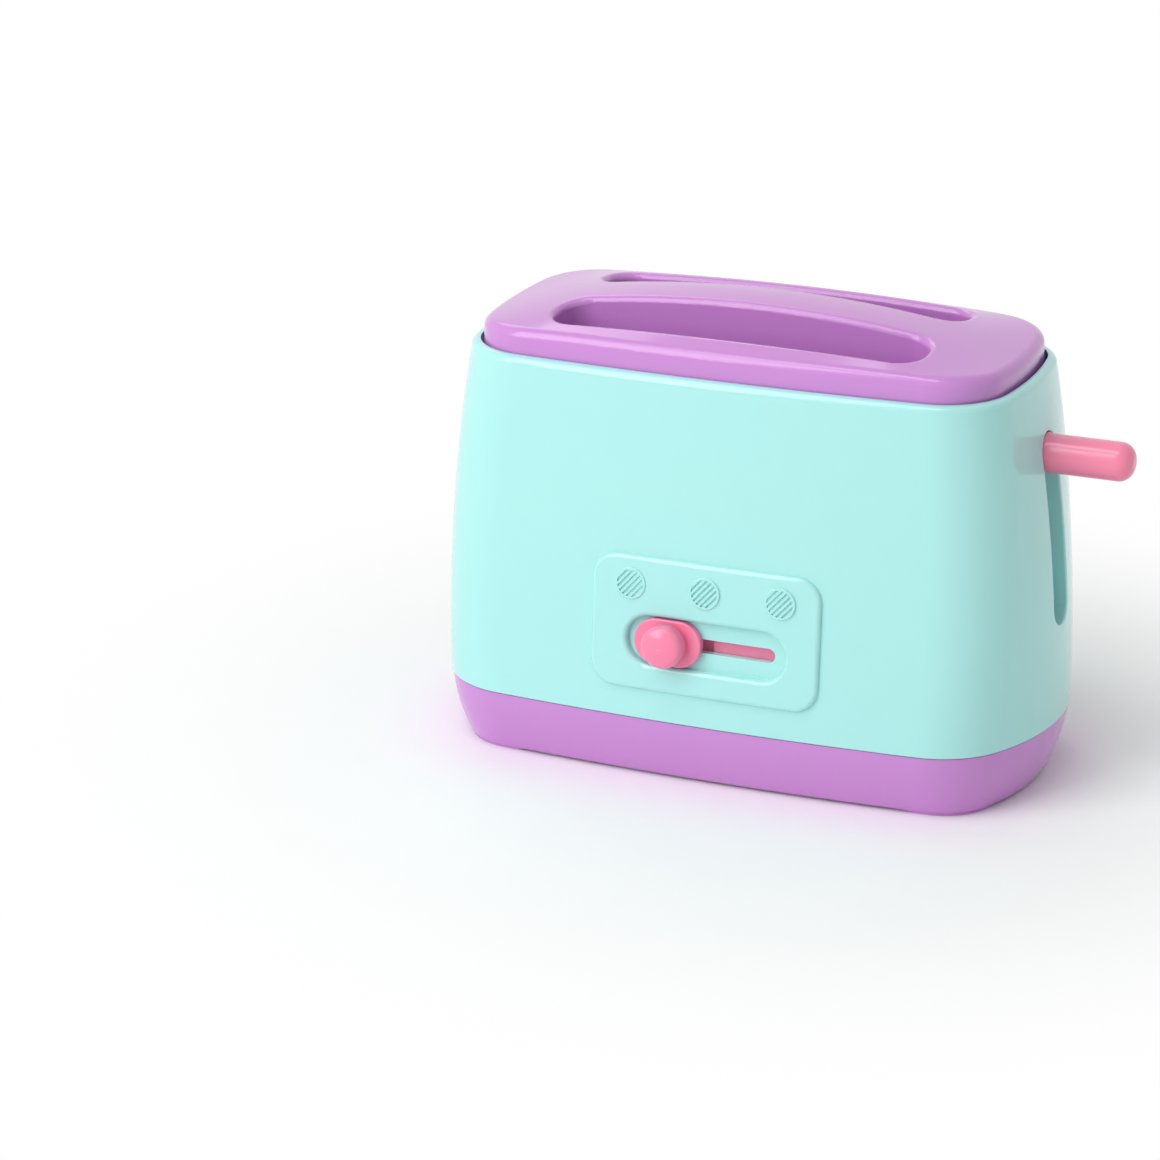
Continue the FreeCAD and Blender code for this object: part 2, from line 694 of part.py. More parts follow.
def slot_tool(side, grow, low, high):
    """A bread slot's shape, bowed out on its outer side, grown by grow."""
    half = SLOT_LENGTH / 2 + grow
    inner = SLOT_INNER - grow
    outer = SLOT_OUTER + grow
    corners = [Vector(-half, inner, low), Vector(half, inner, low), Vector(half, outer, low),
               Vector(-half, outer, low)]
    edges = [Part.makeLine(corners[0], corners[1]), Part.makeLine(corners[1], corners[2]),
             Part.Arc(corners[2], Vector(0, outer + SLOT_BOW, low), corners[3]).toShape(),
             Part.makeLine(corners[3], corners[0])]
    tool = Part.Face(Part.Wire(edges)).extrude(Vector(0, 0, high - low))
    tool = tool.makeFillet(SLOT_CORNER + grow, [edge for edge in tool.Edges if is_upright(edge)])
    if side < 0:
        return tool.mirror(Vector(0, 0, 0), Vector(0, 1, 0))
    return tool


def top_cover():
    high = COVER_TOP + 10
    outside = cover_block(0, COVER_SEAT, high).common(under_dome(0))
    top_edge = []
    for edge in outside.Edges:
        point = middle_of(edge)
        above_rim = edge.BoundBox.ZMin > SHELL_TOP
        if above_rim and abs(point.z - dome_height(point.x, point.y, 0)) < 0.05:
            top_edge.append(edge)
    outside = outside.makeFillet(COVER_ROUND, top_edge)
    slots = [slot_tool(side, 0, CHUTE_BOTTOM - 1, high) for side in (-1, 1)]
    for slot in slots:
        outside = outside.cut(slot)
    rims = []
    for edge in outside.Edges:
        point = middle_of(edge)
        on_dome = abs(point.z - dome_height(point.x, point.y, 0)) < 0.02
        inside = abs(point.x) < SLOT_LENGTH / 2 + 1 and abs(point.y) < SLOT_OUTER + SLOT_BOW + 0.5
        if on_dome and inside:
            rims.append(edge)
    outside = outside.makeFillet(SLOT_ROUND, rims)
    hollow = cover_block(COVER_WALL, COVER_SEAT - 1, high).common(under_dome(COVER_WALL))
    for side in (-1, 1):
        hollow = hollow.cut(slot_tool(side, CHUTE_WALL, COVER_SEAT - 2, high))
    cover = outside.cut(hollow)
    ceiling = under_dome(COVER_WALL / 2)
    chutes = []
    for side in (-1, 1):
        chute = slot_tool(side, CHUTE_WALL, CHUTE_BOTTOM, COVER_SEAT)
        chutes.append(chute.cut(slot_tool(side, 0, CHUTE_BOTTOM - 1, COVER_SEAT + 1)))
    posts = [rod(POST_RADIUS, (side * ROD_X, 0, COVER_POST_BOTTOM), (side * ROD_X, 0, high)).common(ceiling)
             for side in (-1, 1)]
    bosses = [rod(BOSS_RADIUS, (x, y, LUG_TOP + LUG_SEAT_GAP), (x, y, high)).common(ceiling)
              for x, y in cover_screw_points()]
    cover = joined(cover, *(chutes + posts + bosses))
    for side in (-1, 1):
        socket = rod(ROD_RADIUS + ROD_SOCKET_GAP, (side * ROD_X, 0, COVER_POST_BOTTOM - 1),
                     (side * ROD_X, 0, ROD_TOP + ROD_END_GAP))
        cover = cover.cut(socket)
    for x, y in cover_screw_points():
        depth = LUG_BOTTOM + SCREW_LENGTH + SCREW_END_SPACE
        cover = cover.cut(rod(PILOT_RADIUS, (x, y, LUG_TOP), (x, y, depth)))
    return cover


# Base tray

def base_outline(z, inset):
    """The tray's outline, which flares in a curve from its underside up to the shell's lower edge."""
    share = (z - FOOT_HEIGHT) / (SHELL_BOTTOM - FOOT_HEIGHT)
    share += BASE_BULGE * share * (1 - share)
    length = BASE_LENGTH / 2 + (SHELL_END - BASE_STEP - BASE_LENGTH / 2) * share
    depth = BASE_DEPTH / 2 + (SHELL_DEPTH / 2 - BASE_STEP - BASE_DEPTH / 2) * share
    corner = BASE_CORNER + (BOTTOM_CORNER - BASE_STEP - BASE_CORNER) * share
    return bowed_outline(length - inset, depth - inset, corner - inset, BOTTOM_END_BOW, BOTTOM_SIDE_BOW, z)


def base_block(inset, low, high, steps=4):
    levels = [low + (high - low) * step / steps for step in range(steps + 1)]
    return Part.makeLoft([base_outline(z, inset) for z in levels], True, False)


def lip_block(inset, low, high):
    """The lip that stands up inside the shell's wall."""
    return Part.makeLoft([shell_outline(z, SHELL_WALL + BASE_GAP + inset) for z in (low, high)], True, True)


def foot(side_x, side_y):
    """A corner foot that follows the tray's outline and runs out in a ramp along both sides."""
    slab = Part.Face(base_outline(FOOT_HEIGHT, FOOT_INSET)).extrude(Vector(0, 0, -FOOT_HEIGHT))
    along_x = ramp(BASE_LENGTH / 2 - FOOT_LENGTH).extrude(Vector(0, 2 * SHELL_DEPTH, 0))
    along_x.translate(Vector(0, -SHELL_DEPTH, 0))
    along_y = ramp(BASE_DEPTH / 2 - FOOT_DEPTH).extrude(Vector(0, 2 * SHELL_LENGTH, 0))
    along_y.translate(Vector(0, -SHELL_LENGTH, 0))
    along_y.rotate(Vector(0, 0, 0), Vector(0, 0, 1), 90 * side_y)
    if side_x < 0:
        along_x = along_x.mirror(Vector(0, 0, 0), Vector(1, 0, 0))
    return slab.common(along_x).common(along_y)


def ramp(start):
    """A face across Y that rises from the floor over the ramp's length, from start outwards."""
    points = [(start, FOOT_HEIGHT), (start + FOOT_RAMP, 0), (SHELL_LENGTH, 0), (SHELL_LENGTH, FOOT_HEIGHT),
              (start, FOOT_HEIGHT)]
    return Part.Face(Part.makePolygon([Vector(x, 0, z) for x, z in points]))


def base_tray():
    outside = base_block(0, FOOT_HEIGHT, SHELL_BOTTOM - BASE_SEAM)
    outside = rounded(outside, BASE_ROUND, level_at(FOOT_HEIGHT))
    outside = joined(outside, lip_block(0, SHELL_BOTTOM - BASE_LIP, BASE_TOP))
    hollow = joined(base_block(BASE_WALL, BASE_FLOOR, SHELL_BOTTOM - BASE_LIP),
                    lip_block(BASE_WALL, SHELL_BOTTOM - BASE_LIP - 1, BASE_TOP + 1))
    well = SCREW_HEAD_RADIUS + HEAD_CLEARANCE
    bosses = [rod(well + BASE_WALL / 2, (x, y, BASE_FLOOR - 1), (x, y, POST_BOTTOM))
              for x, y in base_screw_points()]
    bosses += [rod(POST_RADIUS, (side * ROD_X, 0, BASE_FLOOR - 1), (side * ROD_X, 0, SPRING_SEAT))
               for side in (-1, 1)]
    tray = outside.cut(hollow)
    feet = [foot(side_x, side_y) for side_x in (-1, 1) for side_y in (-1, 1)]
    tray = joined(tray, *(bosses + feet))
    for x, y in base_screw_points():
        tray = tray.cut(rod(well, (x, y, -1), (x, y, BASE_SCREW_SEAT)))
        tray = tray.cut(rod(HOLE_RADIUS, (x, y, 0), (x, y, POST_BOTTOM + 1)))
    for side in (-1, 1):
        tray = tray.cut(rod(ROD_RADIUS + ROD_SOCKET_GAP, (side * ROD_X, 0, BASE_FLOOR),
                            (side * ROD_X, 0, SPRING_SEAT + 1)))
    return tray


# Lift, rods, springs and lever

def grate(side):
    """A row of round-ended holes through a trough's floor."""
    middle = side * (TROUGH_INNER + TROUGH_WIDTH / 2)
    pitch = SLOT_LENGTH / GRATE_SLOTS
    holes = []
    for step in range(GRATE_SLOTS):
        x = (step - (GRATE_SLOTS - 1) / 2) * pitch
        hole = racetrack(GRATE_LENGTH, GRATE_WIDTH, LIFT_BOTTOM - 1, LIFT_BOTTOM + LIFT_FLOOR + 1, x, middle)
        holes.append(hole)
    return holes


def bread_lift():
    floor_top = LIFT_BOTTOM + LIFT_FLOOR
    tray = plate(LIFT_HALF_LENGTH, LIFT_HALF_DEPTH, LIFT_CORNER, LIFT_BOTTOM, TROUGH_TOP)
    for side in (-1, 1):
        middle = side * (TROUGH_INNER + TROUGH_WIDTH / 2)
        trough = plate(LIFT_HALF_LENGTH - LIFT_WALL, TROUGH_WIDTH / 2, LIFT_CORNER - LIFT_WALL,
                       floor_top, TROUGH_TOP + 1, 0, middle)
        tray = tray.cut(trough)
        for hole in grate(side):
            tray = tray.cut(hole)
    spine = TROUGH_INNER - LIFT_WALL
    tray = tray.cut(plate(LIFT_HALF_LENGTH - LIFT_WALL, spine, spine / 2, floor_top, TROUGH_TOP + 1))
    bar_top = LIFT_BOTTOM + LIFT_BAR
    pieces = []
    for side in (-1, 1):
        near, far = sorted((side * (LIFT_HALF_LENGTH - LIFT_WALL / 2), side * ROD_X))
        pieces.append(box(near, far, -ARM_WIDTH / 2, ARM_WIDTH / 2, LIFT_BOTTOM, bar_top))
        pieces.append(rod(SLEEVE_RADIUS, (side * ROD_X, 0, LIFT_BOTTOM), (side * ROD_X, 0, SLEEVE_TOP)))
    pieces.append(box(ROD_X, ARM_BACK, -ARM_WIDTH / 2, ARM_WIDTH / 2, LIFT_BOTTOM, bar_top))
    arm_top = LEVER_HEIGHT + STEM_HEIGHT
    arm = plate(ARM_WIDTH / 2, (arm_top - LIFT_BOTTOM) / 2, SMALL_CORNER, ARM_X, ARM_BACK,
                0, (arm_top + LIFT_BOTTOM) / 2)
    pieces.append(on_end(arm))
    pieces.append(box(ARM_X, GRIP_ROOT + STEM_DEPTH, -STEM_WIDTH / 2, STEM_WIDTH / 2,
                      LEVER_HEIGHT - STEM_HEIGHT / 2, LEVER_HEIGHT + STEM_HEIGHT / 2))
    pieces.append(box(TAB_LEFT, TAB_RIGHT, TAB_FRONT, -LIFT_HALF_DEPTH + LIFT_WALL / 2,
                      TROUGH_TOP - TAB_THICKNESS, TROUGH_TOP))
    lift = joined(tray, *pieces)
    for side in (-1, 1):
        x = side * ROD_X
        bore = rod(ROD_RADIUS + RUN_GAP, (x, 0, LIFT_BOTTOM - 1), (x, 0, SLEEVE_TOP + 1))
        lift = lift.cut(bore)
    drill = rod(SMALL_SCREW_RADIUS + SCREW_CLEARANCE, (ARM_X - 1, 0, LEVER_HEIGHT),
                (GRIP_ROOT + STEM_DEPTH + 1, 0, LEVER_HEIGHT))
    return lift.cut(drill)


def guide_rod(side):
    pin = rod(ROD_RADIUS, (side * ROD_X, 0, BASE_FLOOR), (side * ROD_X, 0, ROD_TOP))
    return pin.makeChamfer(ROD_CHAMFER, [edge for edge in pin.Edges if edge.Closed])


def lift_spring(side):
    """The space that a coil spring fills between its seat and the lift's sleeve."""
    low = (side * ROD_X, 0, SPRING_SEAT)
    high = (side * ROD_X, 0, LIFT_BOTTOM)
    return rod(SPRING_RADIUS, low, high).cut(rod(SPRING_RADIUS - SPRING_WIRE, low, high))


def lever_grip():
    bar = rod(GRIP_RADIUS, (GRIP_ROOT, 0, LEVER_HEIGHT), (GRIP_TIP, 0, LEVER_HEIGHT))
    bar = rounded(bar, GRIP_TIP_ROUND, lambda edge: edge.Closed and middle_of(edge).x > GRIP_TIP - 1)
    collar_end = GRIP_ROOT + GRIP_COLLAR_LENGTH
    collar = rod(GRIP_COLLAR_RADIUS, (GRIP_ROOT, 0, LEVER_HEIGHT), (collar_end, 0, LEVER_HEIGHT))
    collar = rounded(collar, GRIP_COLLAR_ROUND, lambda edge: edge.Closed)
    grip = joined(bar, collar)
    gap = STEM_SOCKET_GAP
    socket = box(GRIP_ROOT - 1, GRIP_ROOT + STEM_DEPTH + gap, -STEM_WIDTH / 2 - gap, STEM_WIDTH / 2 + gap,
                 LEVER_HEIGHT - STEM_HEIGHT / 2 - gap, LEVER_HEIGHT + STEM_HEIGHT / 2 + gap)
    pilot = rod(SMALL_SCREW_RADIUS - SCREW_BITE, (GRIP_ROOT, 0, LEVER_HEIGHT),
                (ARM_X + GRIP_SCREW_LENGTH + 1, 0, LEVER_HEIGHT))
    return grip.cut(socket).cut(pilot)


def grip_screw():
    return small_screw((ARM_X, 0, LEVER_HEIGHT), (1, 0, 0), GRIP_SCREW_LENGTH)


# Slider

def slider_knob():
    back = TRACK_BACK + FLANGE_GAP
    front = back + FLANGE_THICKNESS
    flange = racetrack(FLANGE_LENGTH, FLANGE_HEIGHT, back, front, KNOB_X, TRACK_Y)
    flange = rounded(flange, FLANGE_ROUND, level_at(front))
    tip = front + KNOB_LENGTH
    neck_root = (KNOB_X, TRACK_Y, back + FLANGE_THICKNESS / 2)
    neck = rod(NECK_RADIUS, neck_root, (KNOB_X, TRACK_Y, tip - KNOB_ROUND))
    cap = rod(KNOB_RADIUS, (KNOB_X, TRACK_Y, front + NECK_LENGTH), (KNOB_X, TRACK_Y, tip))
    crown = KNOB_CROWN * KNOB_RADIUS
    cap = cap.common(Part.makeSphere(crown, Vector(KNOB_X, TRACK_Y, tip - crown)))
    cap = rounded(cap, KNOB_ROUND, lambda edge: edge.Closed and middle_of(edge).z > front + KNOB_LENGTH / 2)
    cap = rounded(cap, NECK_ROUND, level_at(front + NECK_LENGTH))
    head = joined(flange, neck, cap)
    shank_half = WINDOW_HEIGHT / 2 - SHANK_GAP
    hook = PLATE_BACK - SHANK_SEAT_GAP
    shank = box(KNOB_X - SHANK_LENGTH / 2, KNOB_X + SHANK_LENGTH / 2, TRACK_Y - shank_half,
                TRACK_Y + shank_half, hook - HOOK_HEIGHT, back + FLANGE_THICKNESS / 4)
    hooks = box(KNOB_X - SHANK_LENGTH / 2 - HOOK_REACH, KNOB_X + SHANK_LENGTH / 2 + HOOK_REACH,
                TRACK_Y - shank_half, TRACK_Y + shank_half, hook - HOOK_HEIGHT, hook)
    slit_half = SHANK_LENGTH / 2 - SHANK_LEG
    slit = box(KNOB_X - slit_half, KNOB_X + slit_half, TRACK_Y - WINDOW_HEIGHT, TRACK_Y + WINDOW_HEIGHT,
               hook - HOOK_HEIGHT - 1, WALL_BACK)
    return on_front(joined(head, shank, hooks).cut(slit))


def slider_plate():
    sheet = plate((PLATE_RIGHT - PLATE_LEFT) / 2, PLATE_HEIGHT / 2, SMALL_CORNER, PLATE_BACK, PLATE_FRONT,
                  (PLATE_RIGHT + PLATE_LEFT) / 2, TRACK_Y)
    seat = SHANK_SEAT_GAP
    shank_half = WINDOW_HEIGHT / 2 - SHANK_GAP
    snap = box(KNOB_X - SHANK_LENGTH / 2 - seat, KNOB_X + SHANK_LENGTH / 2 + seat,
               TRACK_Y - shank_half - seat, TRACK_Y + shank_half + seat, PLATE_BACK - 1, PLATE_FRONT + 1)
    pocket_left = KNOB_X + SHANK_LENGTH / 2 + POCKET_STEP
    pocket_half = WINDOW_HEIGHT / 2 + SHANK_GAP
    pocket = box(pocket_left, pocket_left + POCKET_LENGTH, TRACK_Y - pocket_half, TRACK_Y + pocket_half,
                 PLATE_FRONT - POCKET_DEPTH, PLATE_FRONT + 1)
    sheet = sheet.cut(snap).cut(pocket)
    drop = (PANEL_Z - BOLT_BOTTOM) / math.cos(math.radians(FRONT_LEAN))
    arm = box(PLATE_RIGHT - BOLT_LENGTH, PLATE_RIGHT, -drop - PLATE_HEIGHT, TRACK_Y, PLATE_BACK, PLATE_FRONT)
    arm = on_front(arm).cut(box(-SHELL_LENGTH, SHELL_LENGTH, -SHELL_DEPTH, 0, -SHELL_HEIGHT, BOLT_BOTTOM))
    lean = (BOLT_BOTTOM - PANEL_Z) * SIDE_LEAN / SHELL_HEIGHT
    bolt_front = lean - side_reach(PANEL_Z) - PLATE_BACK - BOLT_SINK
    bolt = box(BOLT_RIGHT - BOLT_LENGTH, BOLT_RIGHT, bolt_front, bolt_front + BOLT_REACH + PLATE_THICKNESS,
               BOLT_BOTTOM, BOLT_BOTTOM + BOLT_THICKNESS)
    return joined(on_front(sheet), arm, bolt)


def slider_retainer():
    middle = (RETAINER_LEFT + RETAINER_RIGHT) / 2
    half = (RETAINER_RIGHT - RETAINER_LEFT) / 2
    back = RETAINER_FRONT - RETAINER_THICKNESS
    bar = plate(half, RETAINER_HEIGHT / 2, SMALL_CORNER, back, RETAINER_FRONT, middle, TRACK_Y)
    for u in retainer_screw_points():
        start = (u, TRACK_Y, back - 1)
        bar = bar.cut(rod(SMALL_SCREW_RADIUS + SCREW_CLEARANCE, start, (u, TRACK_Y, RETAINER_FRONT + 1)))
    hook_reach = SHANK_LENGTH / 2 + HOOK_REACH + HOOK_GAP
    track = box(KNOB_X - hook_reach, KNOB_X + hook_reach + SLIDER_TRAVEL, TRACK_Y - WINDOW_HEIGHT / 2,
                TRACK_Y + WINDOW_HEIGHT / 2, back - 1, RETAINER_FRONT + 1)
    return on_front(bar.cut(track))


def retainer_screws():
    back = RETAINER_FRONT - RETAINER_THICKNESS
    frame = front_frame()
    outward = frame.Rotation.multVec(Vector(0, 0, 1))
    screws = []
    for u in retainer_screw_points():
        seat = frame.multVec(Vector(u, TRACK_Y, back))
        screws.append(small_screw(tuple(seat), tuple(outward), SMALL_SCREW_LENGTH))
    return Part.makeCompound(screws)


def base_screws():
    screws = [large_screw((x, y, BASE_SCREW_SEAT), (0, 0, 1)) for x, y in base_screw_points()]
    return Part.makeCompound(screws)


def cover_screws():
    screws = [large_screw((x, y, LUG_BOTTOM), (0, 0, 1)) for x, y in cover_screw_points()]
    return Part.makeCompound(screws)


PIECES = {
    "body_shell": body_shell,
    "top_cover": top_cover,
    "base_tray": base_tray,
    "bread_lift": bread_lift,
    "guide_rod_left": lambda: guide_rod(-1),
    "guide_rod_right": lambda: guide_rod(1),
    "lift_spring_left": lambda: lift_spring(-1),
    "lift_spring_right": lambda: lift_spring(1),
    "lever_grip": lever_grip,
    "grip_screw": grip_screw,
    "slider_knob": slider_knob,
    "slider_plate": slider_plate,
    "slider_retainer": slider_retainer,
    "retainer_screws": retainer_screws,
    "base_screws": base_screws,
    "cover_screws": cover_screws,
}

os.makedirs("parts", exist_ok=True)
for name, build in PIECES.items():
    shape = build()
    shape.exportStep("parts/" + name + ".step")
    print(name, "solids", len(shape.Solids), "valid", shape.isValid(), "volume", round(shape.Volume, 1))
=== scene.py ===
import json
import math

import bmesh
import bpy
from mathutils import Matrix, Vector


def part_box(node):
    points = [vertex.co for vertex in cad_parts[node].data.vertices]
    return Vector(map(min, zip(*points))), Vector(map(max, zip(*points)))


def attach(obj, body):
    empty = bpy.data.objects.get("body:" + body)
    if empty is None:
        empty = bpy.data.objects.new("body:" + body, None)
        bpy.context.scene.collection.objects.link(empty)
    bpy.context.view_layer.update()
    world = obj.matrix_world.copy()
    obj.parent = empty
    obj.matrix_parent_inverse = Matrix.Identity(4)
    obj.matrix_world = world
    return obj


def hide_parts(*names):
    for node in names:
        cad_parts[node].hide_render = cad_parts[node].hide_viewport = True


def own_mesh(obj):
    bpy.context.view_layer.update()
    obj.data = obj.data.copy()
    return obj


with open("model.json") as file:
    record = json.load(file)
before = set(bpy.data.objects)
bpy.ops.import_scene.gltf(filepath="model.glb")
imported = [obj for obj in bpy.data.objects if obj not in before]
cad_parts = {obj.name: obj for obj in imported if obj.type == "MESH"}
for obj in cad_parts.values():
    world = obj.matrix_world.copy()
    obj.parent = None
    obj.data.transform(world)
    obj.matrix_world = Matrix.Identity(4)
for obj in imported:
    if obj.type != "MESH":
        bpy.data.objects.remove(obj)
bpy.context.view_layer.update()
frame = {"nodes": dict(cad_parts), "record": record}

# The toy toaster in metres: +X to the lever, -Y the front, +Z up, the floor at z = 0.

MM = 0.001

# Camera, as the photograph was taken
CAMERA_AZIMUTH = math.radians(23.21)
CAMERA_ELEVATION = math.radians(19.92)
CAMERA_ROLL = math.radians(-0.14)
CAMERA_DISTANCE = 1188.0 * MM
CAMERA_RIGHT = -51.0 * MM
CAMERA_UP = 44.5 * MM
CAMERA_LENS = 128.03
CAMERA_SENSOR = 36.0
CAMERA_FAR = 20.0

# Linear colours of the mouldings and metals
MINT = (0.385, 0.79, 0.77)
MINT_WARM = (0.405, 0.79, 0.76)
LILAC = (0.56, 0.24, 0.63)
LILAC_WARM = (0.585, 0.245, 0.625)
PINK = (0.92, 0.22, 0.385)
PINK_WARM = (0.93, 0.24, 0.385)
NATURAL = (0.74, 0.73, 0.69)
NATURAL_WARM = (0.77, 0.75, 0.68)
ZINC = (0.62, 0.62, 0.60)
ROD = (0.58, 0.58, 0.59)
SPRING = (0.42, 0.42, 0.43)

# Plastic surfaces: refraction, clear skin, and the sizes of the flow marks, haze, waves and grain
PLASTIC_IOR = 1.5
COAT_ROUGHNESS = 0.05
FLOW_SCALE = 9.0
HAZE_SCALE = 160.0
WAVE_SCALE = 42.0
WAVE_DEPTH = 0.4 * MM
GRAIN_SCALE = 1400.0
GRAIN_DEPTH = 0.02 * MM

# Coil springs
SPRING_TURNS = 18
SPRING_CLOSED_TURNS = 1.5
SPRING_WIRE = 0.5 * MM
SPRING_STEPS = 28
SPRING_SIDES = 8
SPRING_EASE = 0.15

# Lights: name, azimuth and elevation in degrees, width and height in metres, radiance
LIGHTS = (
    ("key", -33, 31, 0.85, 1.25, 3.55),
    ("strip", -20, 68, 0.9, 0.4, 3.6),
    ("back", -140, 42, 0.8, 0.5, 1.4),
)
LIGHT_DISTANCE = 1.5
LIGHT_AIM = 70.0 * MM
ROOM_LIGHT = 0.5

# Floor
FLOOR_SIZE = 8.0
FLOOR_LOW = (0.93, 0.93, 0.93)
FLOOR_HIGH = (0.96, 0.96, 0.96)
FLOOR_FADE_START = 0.07
FLOOR_FADE_END = 0.24


# Node helpers

class Nodes:
    """A material with a Principled shader and short calls to add nodes to it."""

    def __init__(self, name):
        self.material = bpy.data.materials.new(name)
        self.material.use_nodes = True
        self.tree = self.material.node_tree
        self.shader = self.tree.nodes["Principled BSDF"]
        self.place = self.add("ShaderNodeTexCoord").outputs["Object"]

    def add(self, kind, **settings):
        node = self.tree.nodes.new(kind)
        for key, value in settings.items():
            setattr(node, key, value)
        return node

    def link(self, output, node, socket):
        self.tree.links.new(output, node.inputs[socket])

    def set(self, **values):
        for key, value in values.items():
            self.shader.inputs[key.replace("_", " ")].default_value = value

    def noise(self, scale, detail=2.0, roughness=0.5, stretch=None):
        node = self.add("ShaderNodeTexNoise")
        node.inputs["Scale"].default_value = scale
        node.inputs["Detail"].default_value = detail
        node.inputs["Roughness"].default_value = roughness
        place = self.place
        if stretch:
            mapping = self.add("ShaderNodeMapping")
            mapping.inputs["Scale"].default_value = stretch
            self.link(place, mapping, "Vector")
            place = mapping.outputs["Vector"]
        self.link(place, node, "Vector")
        return node.outputs["Fac"]

    def range(self, value, low, high):
        node = self.add("ShaderNodeMapRange")
        node.inputs["To Min"].default_value = low
        node.inputs["To Max"].default_value = high
        self.link(value, node, "Value")
        return node.outputs["Result"]

    def blend(self, value, first, second):
        node = self.add("ShaderNodeMix", data_type="RGBA")
        self.link(value, node, "Factor")
        node.inputs["A"].default_value = (*first, 1.0)
        node.inputs["B"].default_value = (*second, 1.0)
        return node.outputs["Result"]

    def bump(self, height, strength, distance, below=None):
        node = self.add("ShaderNodeBump")
        node.inputs["Strength"].default_value = strength
        node.inputs["Distance"].default_value = distance
        self.link(height, node, "Height")
        if below is not None:
            self.link(below, node, "Normal")
        return node.outputs["Normal"]


def glossy_plastic(name, colour, warm, roughness, coat):
    """Injection-moulded glossy plastic: faint flow marks, soft waviness, fine haze and a clear skin."""
    nodes = Nodes(name)
    flow = nodes.range(nodes.noise(FLOW_SCALE, 3.0, stretch=(1.0, 1.0, 3.0)), -0.2, 1.2)
    nodes.link(nodes.blend(flow, colour, warm), nodes.shader, "Base Color")
    haze = nodes.range(nodes.noise(HAZE_SCALE, 4.0, 0.6), roughness * 0.8, roughness * 1.25)
    nodes.link(haze, nodes.shader, "Roughness")
    waves = nodes.bump(nodes.noise(WAVE_SCALE, 1.0), 0.10, WAVE_DEPTH)
    grain = nodes.bump(nodes.noise(GRAIN_SCALE, 2.0), 0.05, GRAIN_DEPTH, waves)
    nodes.link(grain, nodes.shader, "Normal")
    nodes.set(IOR=PLASTIC_IOR, Coat_Weight=coat, Coat_Roughness=COAT_ROUGHNESS)
    return nodes.material


def matt_plastic(name, colour, warm):
    nodes = Nodes(name)
    flow = nodes.range(nodes.noise(14.0, 4.0), -0.2, 1.2)
    nodes.link(nodes.blend(flow, colour, warm), nodes.shader, "Base Color")
    nodes.link(nodes.range(nodes.noise(300.0, 3.0), 0.38, 0.55), nodes.shader, "Roughness")
    nodes.link(nodes.bump(nodes.noise(900.0, 3.0), 0.15, 0.05 * MM), nodes.shader, "Normal")
    nodes.set(IOR=1.48)
    return nodes.material


def steel(name, colour, roughness, stretch):
    """Metal with fine drawing lines along stretch's short axis."""
    nodes = Nodes(name)
    nodes.set(Metallic=1.0)
    lines = nodes.noise(220.0, 4.0, 0.6, stretch)
    dark = tuple(0.78 * part for part in colour)
    nodes.link(nodes.blend(nodes.range(lines, 0.0, 1.0), dark, colour), nodes.shader, "Base Color")
    nodes.link(nodes.range(lines, roughness * 0.7, roughness * 1.3), nodes.shader, "Roughness")
    nodes.link(nodes.bump(lines, 0.2, GRAIN_DEPTH), nodes.shader, "Normal")
    return nodes.material


MATERIALS = {
    "mint_plastic": glossy_plastic("mint_plastic", MINT, MINT_WARM, 0.17, 0.45),
    "lilac_plastic": glossy_plastic("lilac_plastic", LILAC, LILAC_WARM, 0.15, 0.2),
    "pink_plastic": glossy_plastic("pink_plastic", PINK, PINK_WARM, 0.18, 0.2),
    "natural_plastic": matt_plastic("natural_plastic", NATURAL, NATURAL_WARM),
    "zinc_steel": steel("zinc_steel", ZINC, 0.3, (1.0, 1.0, 1.0)),
    "rod_steel": steel("rod_steel", ROD, 0.22, (1.0, 1.0, 0.05)),
    "spring_steel": steel("spring_steel", SPRING, 0.3, (1.0, 1.0, 0.3)),
}


def dress_nodes():
    """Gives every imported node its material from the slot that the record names."""
    for part in frame["record"]["subparts"]:
        node = frame["nodes"][part["node"]]
        node.data.materials.clear()
        node.data.materials.append(MATERIALS[part["material_slot"]])


# Coil springs

def spring_height(turn, low, high):
    """Height of the wire's middle after a number of turns: closed ends and an open middle."""
    closed = SPRING_CLOSED_TURNS
    open_turns = SPRING_TURNS - 2 * closed
    first = low + SPRING_WIRE / 2
    last = high - SPRING_WIRE / 2
    stack = closed * SPRING_WIRE
    if turn < closed:
        return first + turn * SPRING_WIRE
    if turn > SPRING_TURNS - closed:
        return last - (SPRING_TURNS - turn) * SPRING_WIRE
    share = (turn - closed) / open_turns
    ease = share - SPRING_EASE * math.sin(2 * math.pi * share) / (2 * math.pi)
    return first + stack + ease * (last - first - 2 * stack)


